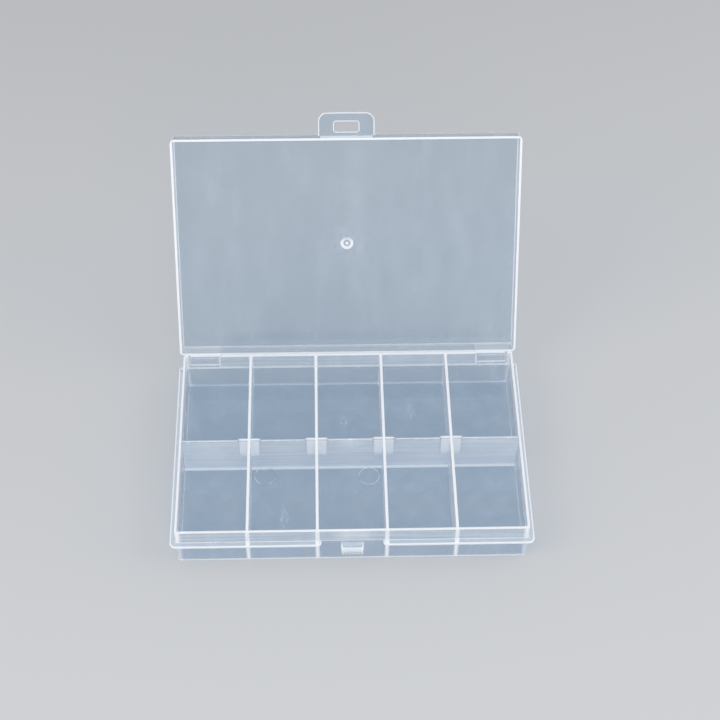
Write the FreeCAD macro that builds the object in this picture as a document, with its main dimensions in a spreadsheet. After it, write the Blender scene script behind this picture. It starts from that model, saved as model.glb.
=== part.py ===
import FreeCAD, Part
import os

import Sketcher

# Clear craft organizer box: a tray of ten compartments, a lid on two bending films and a slotted latch flap.
# Millimetres and degrees. The origin is the centre of the tray's underside, the front faces -Y, up is +Z.

SIZES = {
    # tray
    "tray_width": 170.0,
    "tray_depth": 112.0,
    "tray_height": 24.0,
    "wall_thickness": 1.2,
    "floor_thickness": 1.2,
    "draft_angle": 0.95,
    "corner_radius": 1.5,
    "base_radius": 1.0,
    # stacking flange round the front and the sides
    "flange_drop": 8.0,
    "flange_reach": 2.7,
    "flange_thickness": 1.1,
    "flange_radius": 3.0,
    "flange_gap": 29.7,
    "flange_end_radius": 2.0,
    # notches in the rear wall and the lips that carry the hinge films
    "post_width": 3.0,
    "notch_width": 15.3,
    "notch_radius": 1.4,
    "lip_reach": 0.7,
    "lip_height": 1.3,
    # compartment walls
    "divider_thickness": 1.4,
    "long_divider_thickness": 1.4,
    "long_divider_drop": 0.8,
    "pad_width": 11.0,
    "pad_height": 13.0,
    "pad_reach": 0.35,
    # latch catch on the front wall
    "catch_drop": 0.95,
    "catch_height": 6.55,
    "catch_reach": 4.1,
    "catch_width": 11.3,
    "catch_narrowing": 0.7,
    # lid
    "lid_overlap": 2.5,
    "lid_wall": 1.2,
    "lid_panel": 1.2,
    "lid_corner_radius": 2.5,
    "lid_edge_radius": 1.0,
    "rim_gap": 0.2,
    "top_gap": 0.4,
    "gate_diameter": 6.7,
    "gate_dot": 1.7,
    "gate_depth": 0.25,
    # hinge films between the tray and the lid
    "pivot_setback": 4.2,
    "bend_radius": 0.4,
    "film_thickness": 0.4,
    "film_clearance": 0.3,
    "open_angle": 115.0,
    # latch flap and its film
    "flap_width": 28.0,
    "flap_length": 13.1,
    "flap_thickness": 1.2,
    "flap_radius": 4.6,
    "flap_root_radius": 0.9,
    "slot_length": 12.2,
    "slot_start": 3.2,
    "slot_height": 5.2,
    "slot_radius": 1.1,
    "latch_film_length": 1.0,
    "latch_film_inset": 1.0,
}

COLUMNS = 5

doc = FreeCAD.newDocument("organizer_box")
sheet = doc.addObject("Spreadsheet::Sheet", "Sizes")
for row, (alias, number) in enumerate(SIZES.items(), 1):
    sheet.set(f"A{row}", alias)
    sheet.set(f"B{row}", str(number))
    sheet.setAlias(f"B{row}", alias)
doc.recompute()

# Heights and faces that several pieces share, as expressions
RIM = "Sizes.tray_height"
FLOOR = "Sizes.floor_thickness"
FLANGE_TOP = "(Sizes.tray_height - Sizes.flange_drop)"
SLOPE = "tan(Sizes.draft_angle * 1 deg)"
HALF_WIDTH = "(Sizes.tray_width / 2)"
HALF_DEPTH = "(Sizes.tray_depth / 2)"
NOTCH_OUTER = f"({HALF_WIDTH} - Sizes.post_width)"
NOTCH_INNER = f"({NOTCH_OUTER} - Sizes.notch_width)"
PITCH = f"((Sizes.tray_width - 2 * Sizes.wall_thickness) / {COLUMNS})"
HALF_LONG = "(Sizes.long_divider_thickness / 2)"
PAD_FOOT = f"({RIM} - Sizes.pad_height)"
PIVOT_Y = f"({HALF_DEPTH} + Sizes.pivot_setback)"
PIVOT_Z = f"({FLANGE_TOP} + Sizes.bend_radius)"
LID_RIM = "(Sizes.rim_gap - Sizes.bend_radius)"
LID_DEPTH = "(Sizes.flange_drop - Sizes.rim_gap + Sizes.top_gap)"
LID_HEIGHT = f"({LID_DEPTH} + Sizes.lid_panel)"
LID_HALF = f"({HALF_WIDTH} + Sizes.lid_overlap)"
LID_REAR = "(Sizes.lid_overlap - Sizes.pivot_setback)"
LID_FRONT = f"({LID_REAR} - Sizes.tray_depth - 2 * Sizes.lid_overlap)"
BEND = "((180 - Sizes.open_angle) * 1 deg)"


def value(expression):
    """Work out an expression of sheet cells."""
    return float(sheet.evalExpression(expression))


def inset(height):
    """How far a drafted tray wall has moved in at a height above the underside."""
    return f"({SLOPE} * ({RIM} - ({height})))"


def inner(half, height):
    """Distance from the centre plane to the inner face of a tray wall at a height."""
    return f"({half} - Sizes.wall_thickness - {inset(height)})"


def new_body(name):
    """Start a body with its own origin planes."""
    body = doc.addObject("PartDesign::Body", name)
    body.Label = name
    return body


def origin_feature(body, role):
    """Find one plane or axis of a body's own origin."""
    return next(item for item in body.Origin.OriginFeatures if item.Role == role)


def new_sketch(body, name, role, offset=None):
    """Put a sketch on an origin plane, moved along the plane's normal by an expression."""
    sketch = body.newObject("Sketcher::SketchObject", name)
    sketch.AttachmentSupport = [(origin_feature(body, role), "")]
    sketch.MapMode = "FlatFace"
    if offset:
        sketch.setExpression("AttachmentOffset.Base.z", offset)
    return sketch


def pin(sketch, line, end, across=None, along=None):
    """Tie one end of a line to the sketch's origin with expressions; "0" puts it on the axis."""
    for kind, axis, expression in (("DistanceX", -2, across), ("DistanceY", -1, along)):
        if expression is None:
            continue
        if expression == "0":
            sketch.addConstraint(Sketcher.Constraint("PointOnObject", line, end, axis))
            continue
        size = value(expression)
        index = sketch.addConstraint(Sketcher.Constraint(kind, -1, 1, line, end, size))
        sketch.setExpression(f"Constraints[{index}]", expression)


def polygon(sketch, corners):
    """Draw a closed outline of straight lines; each corner is a pair of expressions."""
    first = sketch.GeometryCount
    count = len(corners)
    points = [FreeCAD.Vector(value(across), value(along), 0) for across, along in corners]
    for index, point in enumerate(points):
        sketch.addGeometry(Part.LineSegment(point, points[(index + 1) % count]))
    for index in range(count):
        after = first + (index + 1) % count
        sketch.addConstraint(Sketcher.Constraint("Coincident", first + index, 2, after, 1))
    for index, (across, along) in enumerate(corners):
        pin(sketch, first + index, 1, across, along)


def rectangle(sketch, left, right, low, high):
    """Draw a rectangle between four expressions."""
    polygon(sketch, [(left, low), (right, low), (right, high), (left, high)])


def circle(sketch, diameter, along):
    """Draw a circle centred on the sketch's vertical axis at an expression."""
    centre = FreeCAD.Vector(0, value(along), 0)
    radius = value(diameter) / 2
    index = sketch.addGeometry(Part.Circle(centre, FreeCAD.Vector(0, 0, 1), radius))
    pin(sketch, index, 3, "0", along)
    size = sketch.addConstraint(Sketcher.Constraint("Diameter", index, 2 * radius))
    sketch.setExpression(f"Constraints[{size}]", diameter)


def extrude(kind, body, name, sketch, length, back=False, both=False):
    """Pad or pocket a sketch by an expression."""
    feature = body.newObject(kind, name)
    feature.Profile = sketch
    feature.setExpression("Length", length)
    feature.Reversed = back
    if both:
        feature.SideType = "Symmetric"
    sketch.Visibility = False
    doc.recompute()
    return feature


def pad(body, name, sketch, length, **options):
    """Add material to a body."""
    return extrude("PartDesign::Pad", body, name, sketch, length, **options)


def pocket(body, name, sketch, length, **options):
    """Take material from a body."""
    return extrude("PartDesign::Pocket", body, name, sketch, length, **options)


def flat_faces(shape):
    """List the name, outward normal and middle of every flat face."""
    found = []
    for index, face in enumerate(shape.Faces, 1):
        if face.Surface.TypeId == "Part::GeomPlane":
            found.append((f"Face{index}", face.normalAt(0, 0), face.BoundBox.Center))
    return found


def level_face(shape, height):
    """Name the level face at a height."""
    for name, normal, middle in flat_faces(shape):
        if abs(normal.z) > 0.999 and abs(middle.z - height) < 0.001:
            return name
    raise RuntimeError(f"no level face at {height}")


def upright_faces(shape, centre, outward):
    """Name the upright faces that look away from a centre, or towards it."""
    names = []
    for name, normal, middle in flat_faces(shape):
        away = normal.dot(middle - centre)
        if abs(normal.z) < 0.001 and (away > 0) == outward:
            names.append(name)
    return names


def draft_sides(body, name, centre, outward, neutral, rising=False):
    """Lean the outer or inner sides by the draft angle, narrower below the neutral height or above it."""
    base = body.Tip
    feature = body.newObject("PartDesign::Draft", name)
    feature.Base = (base, upright_faces(base.Shape, centre, outward))
    feature.NeutralPlane = (base, [level_face(base.Shape, value(neutral))])
    feature.setExpression("Angle", "Sizes.draft_angle")
    feature.Reversed = outward != rising
    doc.recompute()
    return feature


def edges_near(body, direction, spots, reach=0.7):
    """Name the straight edges along a direction whose middle lies near one of the spots.

    Each spot is a triple of numbers; None leaves that coordinate free.
    """
    shape = body.Tip.Shape
    names = []
    for index, edge in enumerate(shape.Edges, 1):
        if edge.Curve.TypeId != "Part::GeomLine":
            continue
        if abs(edge.tangentAt(edge.FirstParameter).dot(direction)) < 0.99:
            continue
        middle = edge.valueAt((edge.FirstParameter + edge.LastParameter) / 2)
        for spot in spots:
            gaps = [abs(have - want) for have, want in zip(middle, spot) if want is not None]
            if max(gaps) < reach:
                names.append(f"Edge{index}")
                break
    return names


def edges_level(body, height):
    """Name the edges that lie flat at a height of the body's own frame."""
    names = []
    for index, edge in enumerate(body.Tip.Shape.Edges, 1):
        box = edge.BoundBox
        if abs(box.ZMin - height) < 0.001 and abs(box.ZMax - height) < 0.001:
            names.append(f"Edge{index}")
    return names


def fillet(body, name, edges, radius):
    """Round the named edges of a body by an expression."""
    base = body.Tip
    feature = body.newObject("PartDesign::Fillet", name)
    feature.Base = (base, edges)
    feature.setExpression("Radius", radius)
    doc.recompute()
    return feature


UP = FreeCAD.Vector(0, 0, 1)
ACROSS = FreeCAD.Vector(0, 1, 0)
BOTH_SIDES = ((-1, "-"), (1, ""))


# Tray shell: a drafted block hollowed from above
tray = new_body("tray_shell")
outline = new_sketch(tray, "tray_outline", "XY_Plane", RIM)
rectangle(outline, f"-{HALF_WIDTH}", HALF_WIDTH, f"-{HALF_DEPTH}", HALF_DEPTH)
pad(tray, "tray_block", outline, RIM, back=True)
centre = FreeCAD.Vector(0, 0, value(RIM) / 2)
draft_sides(tray, "tray_outer_draft", centre, True, RIM)
half_width = value(HALF_WIDTH)
half_depth = value(HALF_DEPTH)
corners = [(sx * half_width, sy * half_depth, None) for sx in (-1, 1) for sy in (-1, 1)]
fillet(tray, "tray_corners", edges_near(tray, UP, corners), "Sizes.corner_radius")
fillet(tray, "tray_base_edge", edges_level(tray, 0.0), "Sizes.base_radius")

hollow = new_sketch(tray, "tray_hollow", "XY_Plane", RIM)
hollow_x = f"({HALF_WIDTH} - Sizes.wall_thickness)"
hollow_y = f"({HALF_DEPTH} - Sizes.wall_thickness)"
rectangle(hollow, f"-{hollow_x}", hollow_x, f"-{hollow_y}", hollow_y)
pocket(tray, "tray_cavity", hollow, f"{RIM} - {FLOOR}")
draft_sides(tray, "tray_inner_draft", centre, False, RIM)

# Rear notches, one near each corner, cut down to the flange's level
notches = new_sketch(tray, "notch_outline", "XY_Plane", RIM)
notch_front = f"({HALF_DEPTH} - 2 * Sizes.wall_thickness)"
notch_back = f"({HALF_DEPTH} + Sizes.wall_thickness)"
rectangle(notches, f"-{NOTCH_OUTER}", f"-{NOTCH_INNER}", notch_front, notch_back)
rectangle(notches, NOTCH_INNER, NOTCH_OUTER, notch_front, notch_back)
pocket(tray, "notches", notches, "Sizes.flange_drop")
notch_tops = [(side * value(NOTCH_INNER), None, value(RIM)) for side in (-1, 1)]
notch_tops += [(side * value(NOTCH_OUTER), None, value(RIM)) for side in (-1, 1)]
fillet(tray, "notch_corners", edges_near(tray, ACROSS, notch_tops, 0.3), "Sizes.notch_radius")

# Stacking flange: two arms that leave a gap for the latch at the middle of the front
flange = new_sketch(tray, "flange_outline", "XY_Plane", FLANGE_TOP)
flange_x = f"({HALF_WIDTH} + Sizes.flange_reach)"
flange_y = f"({HALF_DEPTH} + Sizes.flange_reach)"
root_x = f"({HALF_WIDTH} - Sizes.wall_thickness / 2)"
root_y = f"({HALF_DEPTH} - Sizes.wall_thickness / 2)"
gap_x = "(Sizes.flange_gap / 2)"
for side, sign in BOTH_SIDES:
    arm = [
        (f"{sign}{gap_x}", f"-{flange_y}"),
        (f"{sign}{flange_x}", f"-{flange_y}"),
        (f"{sign}{flange_x}", root_y),
        (f"{sign}{root_x}", root_y),
        (f"{sign}{root_x}", f"-{root_y}"),
        (f"{sign}{gap_x}", f"-{root_y}"),
    ]
    polygon(flange, arm)
pad(tray, "flange", flange, "Sizes.flange_thickness", back=True)
front_y = -value(flange_y)
flange_corners = [(side * value(flange_x), front_y, None) for side in (-1, 1)]
flange_ends = [(side * value(gap_x), front_y, None) for side in (-1, 1)]
flange_ends += [(side * value(flange_x), value(root_y), None) for side in (-1, 1)]
fillet(tray, "flange_corners", edges_near(tray, UP, flange_corners, 0.05), "Sizes.flange_radius")
fillet(tray, "flange_ends", edges_near(tray, UP, flange_ends, 0.05), "Sizes.flange_end_radius")

# Lips under the notches, from which the hinge films start
lips = new_sketch(tray, "tray_lip_outline", "XY_Plane", FLANGE_TOP)
lip_root = f"({HALF_DEPTH} - Sizes.wall_thickness / 2)"
lip_face = f"({HALF_DEPTH} + Sizes.lip_reach)"
rectangle(lips, f"-{NOTCH_OUTER}", f"-{NOTCH_INNER}", lip_root, lip_face)
rectangle(lips, NOTCH_INNER, NOTCH_OUTER, lip_root, lip_face)
pad(tray, "tray_lips", lips, "Sizes.lip_height", back=True)

# Long divider between the two rows, with a wedge-shaped pad on both faces at every crossing
long_top = f"({RIM} - Sizes.long_divider_drop)"
long_divider = new_body("long_divider")
plate = new_sketch(long_divider, "long_plate_outline", "XZ_Plane")
plate_corners = [
    (f"-{inner(HALF_WIDTH, FLOOR)}", FLOOR),
    (inner(HALF_WIDTH, FLOOR), FLOOR),
    (inner(HALF_WIDTH, long_top), long_top),
    (f"-{inner(HALF_WIDTH, long_top)}", long_top),
]
polygon(plate, plate_corners)
pad(long_divider, "long_plate", plate, "Sizes.long_divider_thickness", both=True)
for number in range(1, COLUMNS):
    middle = f"({number - COLUMNS / 2} * {PITCH})"
    wedge = new_sketch(long_divider, f"pad_outline_{number}", "YZ_Plane", middle)
    pad_face = f"({HALF_LONG} + Sizes.pad_reach)"
    wedge_corners = [
        (f"-{HALF_LONG}", PAD_FOOT),
        (HALF_LONG, PAD_FOOT),
        (pad_face, RIM),
        (f"-{pad_face}", RIM),
    ]
    polygon(wedge, wedge_corners)
    pad(long_divider, f"crossing_pad_{number}", wedge, "Sizes.pad_width", both=True)

# Cross walls, from the long divider's face and pads to the drafted front or rear wall
for row, sign in (("front", "-"), ("rear", "")):
    for number in range(1, COLUMNS):
        cross = new_body(f"{row}_divider_{number}")
        cross.setExpression("Placement.Base.x", f"{number - COLUMNS / 2} * {PITCH}")
        profile = new_sketch(cross, f"{row}_outline_{number}", "YZ_Plane")
        profile_corners = [
            (f"{sign}{HALF_LONG}", FLOOR),
            (f"{sign}{inner(HALF_DEPTH, FLOOR)}", FLOOR),
            (f"{sign}{inner(HALF_DEPTH, RIM)}", RIM),
            (f"{sign}({HALF_LONG} + Sizes.pad_reach)", RIM),
            (f"{sign}{HALF_LONG}", PAD_FOOT),
        ]
        polygon(profile, profile_corners)
        pad(cross, f"{row}_wall_{number}", profile, "Sizes.divider_thickness", both=True)

# Latch catch: a nose on the drafted front wall, with a sloping top and sides that draw in towards its face
catch_top = f"({FLANGE_TOP} - Sizes.catch_drop)"
catch_foot = f"({catch_top} - Sizes.catch_height)"
catch_wall = f"({HALF_DEPTH} - {inset(catch_top)})"
catch_profile = [
    (0.71, 0.25),
    (1.0, 0.3),
    (1.0, 0.7),
    (0.85, 0.94),
]
catch = new_body("latch_catch")
catch_outline = new_sketch(catch, "catch_outline", "YZ_Plane")
catch_corners = [(f"-{catch_wall}", catch_top)]
for out, down in catch_profile:
    across = f"-({catch_wall} + {out} * Sizes.catch_reach)"
    catch_corners.append((across, f"({catch_top} - {down} * Sizes.catch_height)"))
catch_corners.append((f"-({HALF_DEPTH} - {inset(catch_foot)})", catch_foot))
polygon(catch_outline, catch_corners)
pad(catch, "catch_nose", catch_outline, "Sizes.catch_width", both=True)
catch_face = f"({catch_wall} + Sizes.catch_reach)"
catch_half = "(Sizes.catch_width / 2)"
catch_side = f"({catch_half} + Sizes.catch_narrowing)"
trims = new_sketch(catch, "catch_trim_outline", "XY_Plane", catch_top)
for side, sign in BOTH_SIDES:
    trim = [
        (f"{sign}{catch_half}", f"-{catch_wall}"),
        (f"{sign}({catch_half} - Sizes.catch_narrowing)", f"-{catch_face}"),
        (f"{sign}{catch_side}", f"-{catch_face}"),
        (f"{sign}{catch_side}", f"-{catch_wall}"),
    ]
    polygon(trims, trim)
pocket(catch, "catch_trim", trims, "Sizes.catch_height")

# Hinge films: flat from the tray's lip, bent about the pivot, flat to the lid's lip
film_outer = "(Sizes.bend_radius + Sizes.film_thickness)"
film_inner = "Sizes.bend_radius"
film_start = "(Sizes.lip_reach - Sizes.pivot_setback)"
film_tail = "(Sizes.pivot_setback - Sizes.lid_overlap - Sizes.lip_reach)"


def bend_end(radius, tail):
    """Point at the end of the bend at a radius, carried on by a straight tail."""
    across = f"({radius} * sin({BEND}) + {tail} * cos({BEND}))"
    along = f"({tail} * sin({BEND}) - {radius} * cos({BEND}))"
    return across, along


def film_profile(sketch):
    """Draw a film's side view round the pivot at the sketch's origin."""
    ends = [
        ((film_start, f"-{film_outer}"), ("0", f"-{film_outer}")),
        (bend_end(film_outer, "0"), bend_end(film_outer, film_tail)),
        (bend_end(film_outer, film_tail), bend_end(film_inner, film_tail)),
        (bend_end(film_inner, film_tail), bend_end(film_inner, "0")),
        (("0", f"-{film_inner}"), (film_start, f"-{film_inner}")),
        ((film_start, f"-{film_inner}"), (film_start, f"-{film_outer}")),
    ]
    for start, finish in ends:
        points = [FreeCAD.Vector(value(across), value(along), 0) for across, along in (start, finish)]
        sketch.addGeometry(Part.LineSegment(*points))
    first = FreeCAD.Units.Quantity("-90 deg").getValueAs("rad").Value
    last = first + (180 - value("Sizes.open_angle")) * abs(first) / 90
    centre = FreeCAD.Vector(0, 0, 0)
    for radius in (film_outer, film_inner):
        arc = Part.ArcOfCircle(Part.Circle(centre, UP, value(radius)), first, last)
        index = sketch.addGeometry(arc)
        sketch.addConstraint(Sketcher.Constraint("Coincident", index, 3, -1, 1))
    joins = [(0, 2, 6, 1), (6, 2, 1, 1), (1, 2, 2, 1), (2, 2, 3, 1), (3, 2, 7, 2), (7, 1, 4, 1), (4, 2, 5, 1)]
    joins.append((5, 2, 0, 1))
    for join in joins:
        sketch.addConstraint(Sketcher.Constraint("Coincident", *join))
    pin(sketch, 0, 1, film_start, f"-{film_outer}")
    pin(sketch, 0, 2, "0", f"-{film_outer}")
    pin(sketch, 1, 1, bend_end(film_outer, "0")[0])
    pin(sketch, 2, 1, *bend_end(film_outer, film_tail))
    pin(sketch, 3, 1, *bend_end(film_inner, film_tail))
    pin(sketch, 3, 2, bend_end(film_inner, "0")[0])
    pin(sketch, 4, 1, "0", f"-{film_inner}")
    pin(sketch, 4, 2, film_start, f"-{film_inner}")


for name, sign in (("hinge_film_left", "-"), ("hinge_film_right", "")):
    film = new_body(name)
    film.setExpression("Placement.Base.x", f"{sign}({NOTCH_INNER} + {NOTCH_OUTER}) / 2")
    film.setExpression("Placement.Base.y", PIVOT_Y)
    film.setExpression("Placement.Base.z", PIVOT_Z)
    film_sketch = new_sketch(film, f"{name}_outline", "YZ_Plane")
    film_profile(film_sketch)
    pad(film, f"{name}_strap", film_sketch, "Sizes.notch_width - 2 * Sizes.film_clearance", both=True)

# Lid shell, drawn shut about the pivot and then swung open
pivot = FreeCAD.Vector(0, value(PIVOT_Y), value(PIVOT_Z))
swing = FreeCAD.Rotation(FreeCAD.Vector(1, 0, 0), -value("Sizes.open_angle"))
lid = new_body("lid_shell")
lid.Placement = FreeCAD.Placement(pivot, swing)
lid_outline = new_sketch(lid, "lid_outline", "XY_Plane", LID_RIM)
rectangle(lid_outline, f"-{LID_HALF}", LID_HALF, LID_FRONT, LID_REAR)
pad(lid, "lid_block", lid_outline, LID_HEIGHT)
lid_centre = FreeCAD.Vector(0, value(f"({LID_FRONT} + {LID_REAR}) / 2"), value(LID_RIM))
draft_sides(lid, "lid_outer_draft", lid_centre, True, LID_RIM, rising=True)
lid_corners = [
    (side * value(LID_HALF), value(end), None) for side in (-1, 1) for end in (LID_FRONT, LID_REAR)
]
fillet(lid, "lid_corners", edges_near(lid, UP, lid_corners), "Sizes.lid_corner_radius")
lid_top = f"({LID_RIM} + {LID_HEIGHT})"
fillet(lid, "lid_top_edge", edges_level(lid, value(lid_top)), "Sizes.lid_edge_radius")

lid_hollow = new_sketch(lid, "lid_hollow", "XY_Plane", LID_RIM)
lid_hollow_x = f"({LID_HALF} - Sizes.lid_wall)"
lid_hollow_front = f"({LID_FRONT} + Sizes.lid_wall)"
lid_hollow_rear = f"({LID_REAR} - Sizes.lid_wall)"
rectangle(lid_hollow, f"-{lid_hollow_x}", lid_hollow_x, lid_hollow_front, lid_hollow_rear)
pocket(lid, "lid_cavity", lid_hollow, LID_DEPTH, back=True)
draft_sides(lid, "lid_inner_draft", lid_centre, False, LID_RIM, rising=True)

lid_lips = new_sketch(lid, "lid_lip_outline", "XY_Plane", LID_RIM)
lid_lip_root = f"({LID_REAR} - Sizes.lid_wall / 2)"
lid_lip_face = f"({LID_REAR} + Sizes.lip_reach)"
rectangle(lid_lips, f"-{NOTCH_OUTER}", f"-{NOTCH_INNER}", lid_lip_root, lid_lip_face)
rectangle(lid_lips, NOTCH_INNER, NOTCH_OUTER, lid_lip_root, lid_lip_face)
pad(lid, "lid_lips", lid_lips, "Sizes.lip_height")

gate = new_sketch(lid, "gate_outline", "XY_Plane", lid_top)
lid_middle = f"(({LID_FRONT} + {LID_REAR}) / 2)"
circle(gate, "Sizes.gate_diameter", lid_middle)
circle(gate, "Sizes.gate_dot", lid_middle)
pocket(lid, "gate_ring", gate, "Sizes.gate_depth")

# Latch film along the lid's front rim
latch_film = new_body("latch_film")
latch_film.Placement = lid.Placement
latch_film_top = f"({LID_RIM} + Sizes.film_thickness)"
latch_film_end = f"({LID_FRONT} - Sizes.latch_film_length)"
strip = new_sketch(latch_film, "latch_film_outline", "YZ_Plane")
strip_corners = [
    (LID_FRONT, LID_RIM),
    (latch_film_end, LID_RIM),
    (latch_film_end, latch_film_top),
    (f"({LID_FRONT} + {SLOPE} * Sizes.film_thickness)", latch_film_top),
]
polygon(strip, strip_corners)
strip_width = "Sizes.flap_width - 2 * Sizes.latch_film_inset"
pad(latch_film, "latch_film_strip", strip, strip_width, both=True)

# Latch flap, drawn about the middle of its film
flap_axis_y = f"({LID_FRONT} - Sizes.latch_film_length / 2)"
flap_axis_z = f"({LID_RIM} + Sizes.film_thickness / 2)"
flap_axis = FreeCAD.Vector(0, value(flap_axis_y), value(flap_axis_z))
flap = new_body("latch_flap")
flap.Placement = lid.Placement.multiply(FreeCAD.Placement(flap_axis, FreeCAD.Rotation()))
flap_under = "-(Sizes.film_thickness / 2)"
flap_root = "-(Sizes.latch_film_length / 2)"
flap_end = "-(Sizes.flap_length - Sizes.latch_film_length / 2)"
flap_outline = new_sketch(flap, "flap_outline", "XY_Plane", flap_under)
rectangle(flap_outline, "-(Sizes.flap_width / 2)", "(Sizes.flap_width / 2)", flap_end, flap_root)
pad(flap, "flap_plate", flap_outline, "Sizes.flap_thickness")
flap_half = value("Sizes.flap_width / 2")
flap_corners = [(side * flap_half, value(flap_end), None) for side in (-1, 1)]
fillet(flap, "flap_corners", edges_near(flap, UP, flap_corners, 0.05), "Sizes.flap_radius")
flap_roots = [(side * flap_half, value(flap_root), None) for side in (-1, 1)]
fillet(flap, "flap_root_corners", edges_near(flap, UP, flap_roots, 0.05), "Sizes.flap_root_radius")

slot = new_sketch(flap, "slot_outline", "XY_Plane", flap_under)
slot_near = "-(Sizes.slot_start - Sizes.latch_film_length / 2)"
slot_far = "-(Sizes.slot_start + Sizes.slot_height - Sizes.latch_film_length / 2)"
rectangle(slot, "-(Sizes.slot_length / 2)", "(Sizes.slot_length / 2)", slot_far, slot_near)
pocket(flap, "slot", slot, "Sizes.flap_thickness", back=True)
slot_half = value("Sizes.slot_length / 2")
slot_corners = [
    (side * slot_half, value(end), None) for side in (-1, 1) for end in (slot_near, slot_far)
]
fillet(flap, "slot_corners", edges_near(flap, UP, slot_corners, 0.05), "Sizes.slot_radius")

# Check every object and write one file for each piece
doc.recompute()
os.makedirs("parts", exist_ok=True)
for item in doc.Objects:
    if "Invalid" in item.State or "Error" in item.State:
        raise RuntimeError(f"{item.Name} is in state {item.State}")
for body in doc.findObjects("PartDesign::Body"):
    shape = body.Shape
    if shape.isNull() or not shape.isValid() or len(shape.Solids) != 1:
        raise RuntimeError(f"{body.Label} is not one valid solid")
    shape.exportStep(f"parts/{body.Label}.step")
    print(body.Label, round(shape.Volume, 1), shape.BoundBox)
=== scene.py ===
"""Looks of a hinged organizer box moulded in clear polypropylene.

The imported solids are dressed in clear, slightly milky plastic, the bending films and the
moulding marks are added as meshes, and a pale floor, soft lamps and the camera are set.
All sizes are in millimetres unless a docstring says otherwise.
"""

from __future__ import annotations

import logging
import math
from collections.abc import Mapping, Sequence
from dataclasses import dataclass
from enum import Enum

import bmesh
import bpy
from mathutils import Matrix, Vector

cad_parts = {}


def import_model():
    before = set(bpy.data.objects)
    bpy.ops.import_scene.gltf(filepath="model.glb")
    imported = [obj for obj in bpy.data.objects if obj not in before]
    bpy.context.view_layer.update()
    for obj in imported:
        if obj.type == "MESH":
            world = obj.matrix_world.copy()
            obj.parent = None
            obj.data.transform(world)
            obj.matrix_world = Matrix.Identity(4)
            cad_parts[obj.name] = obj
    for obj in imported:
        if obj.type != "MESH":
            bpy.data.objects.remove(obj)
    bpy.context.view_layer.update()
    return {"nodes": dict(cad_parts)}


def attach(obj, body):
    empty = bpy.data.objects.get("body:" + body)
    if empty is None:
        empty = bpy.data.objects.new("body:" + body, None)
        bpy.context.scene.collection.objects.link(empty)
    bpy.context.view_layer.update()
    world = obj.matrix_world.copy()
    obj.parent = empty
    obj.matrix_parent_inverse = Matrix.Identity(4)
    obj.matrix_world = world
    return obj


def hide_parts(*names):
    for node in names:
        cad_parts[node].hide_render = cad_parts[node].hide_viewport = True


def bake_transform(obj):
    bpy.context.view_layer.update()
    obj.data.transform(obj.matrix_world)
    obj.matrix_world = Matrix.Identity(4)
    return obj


LOG = logging.getLogger("organizer_box")
MM = 0.001
MARK_LIFT = 0.01

Colour = tuple[float, float, float, float]
Pair = tuple[float, float]
Triple = tuple[float, float, float]


class Body(Enum):
    """The bodies that the pieces ride on."""

    TRAY = "tray"
    LID = "lid"
    LATCH = "latch"


class Slot(Enum):
    """The record's material slots for the added pieces; the script assigns none of them."""

    TRAY = "tray"
    DIVIDER = "divider"
    FILM = "film"


@dataclass(frozen=True)
class Term:
    """One output of a node; arithmetic on it adds Math or Vector Math nodes."""

    shade: Shade
    owner: bpy.types.Node
    out: str | int = 0

    @property
    def socket(self) -> bpy.types.NodeSocket:
        """The output socket itself."""
        return self.owner.outputs[self.out]

    def part(self, out: str | int) -> Term:
        """Another output of the same node."""
        return Term(self.shade, self.owner, out)

    def _combine(self, operation: str, first: Value, second: Value) -> Term:
        """Add the node of one operation.

        Args:
            operation: The operation's name in Blender.
            first: The left value.
            second: The right value.

        Returns:
            The result.
        """
        if self.socket.type != "VECTOR":
            return self.shade.node("Math", {"operation": operation}, {0: first, 1: second})
        sides = [(side,) * 3 if isinstance(side, (int, float)) else side for side in (first, second)]
        return self.shade.node("VectorMath", {"operation": operation}, dict(enumerate(sides)))

    def __add__(self, other: Value) -> Term:
        """Sum."""
        return self._combine("ADD", self, other)

    def __radd__(self, other: Value) -> Term:
        """Sum, reflected."""
        return self._combine("ADD", other, self)

    def __sub__(self, other: Value) -> Term:
        """Difference."""
        return self._combine("SUBTRACT", self, other)

    def __rsub__(self, other: Value) -> Term:
        """Difference, reflected."""
        return self._combine("SUBTRACT", other, self)

    def __mul__(self, other: Value) -> Term:
        """Product."""
        return self._combine("MULTIPLY", self, other)

    def __rmul__(self, other: Value) -> Term:
        """Product, reflected."""
        return self._combine("MULTIPLY", other, self)

    def __pow__(self, other: Value) -> Term:
        """Power."""
        return self._combine("POWER", self, other)

    def __abs__(self) -> Term:
        """Size without sign."""
        return self._combine("ABSOLUTE", self, 0.0)

    def most(self, other: Value) -> Term:
        """The larger of two values."""
        return self._combine("MAXIMUM", self, other)

    def least(self, other: Value) -> Term:
        """The smaller of two values."""
        return self._combine("MINIMUM", self, other)

    def rise(self, low: float, high: float) -> Term:
        """A smooth step, which falls where low is the larger.

        Args:
            low: The value at which it is 0.
            high: The value at which it is 1.

        Returns:
            The step, from 0 to 1.
        """
        sockets = {"Value": self, "From Min": min(low, high), "From Max": max(low, high)}
        step = self.shade.node("MapRange", {"interpolation_type": "SMOOTHSTEP"}, sockets)
        return step if low < high else 1.0 - step

    def near(self, value: float, reach: float) -> Term:
        """1 at a value, falling to 0 at that reach on both sides."""
        return abs(self - value).rise(reach, 0.0)


Value = Term | float | Sequence[float]


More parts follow.
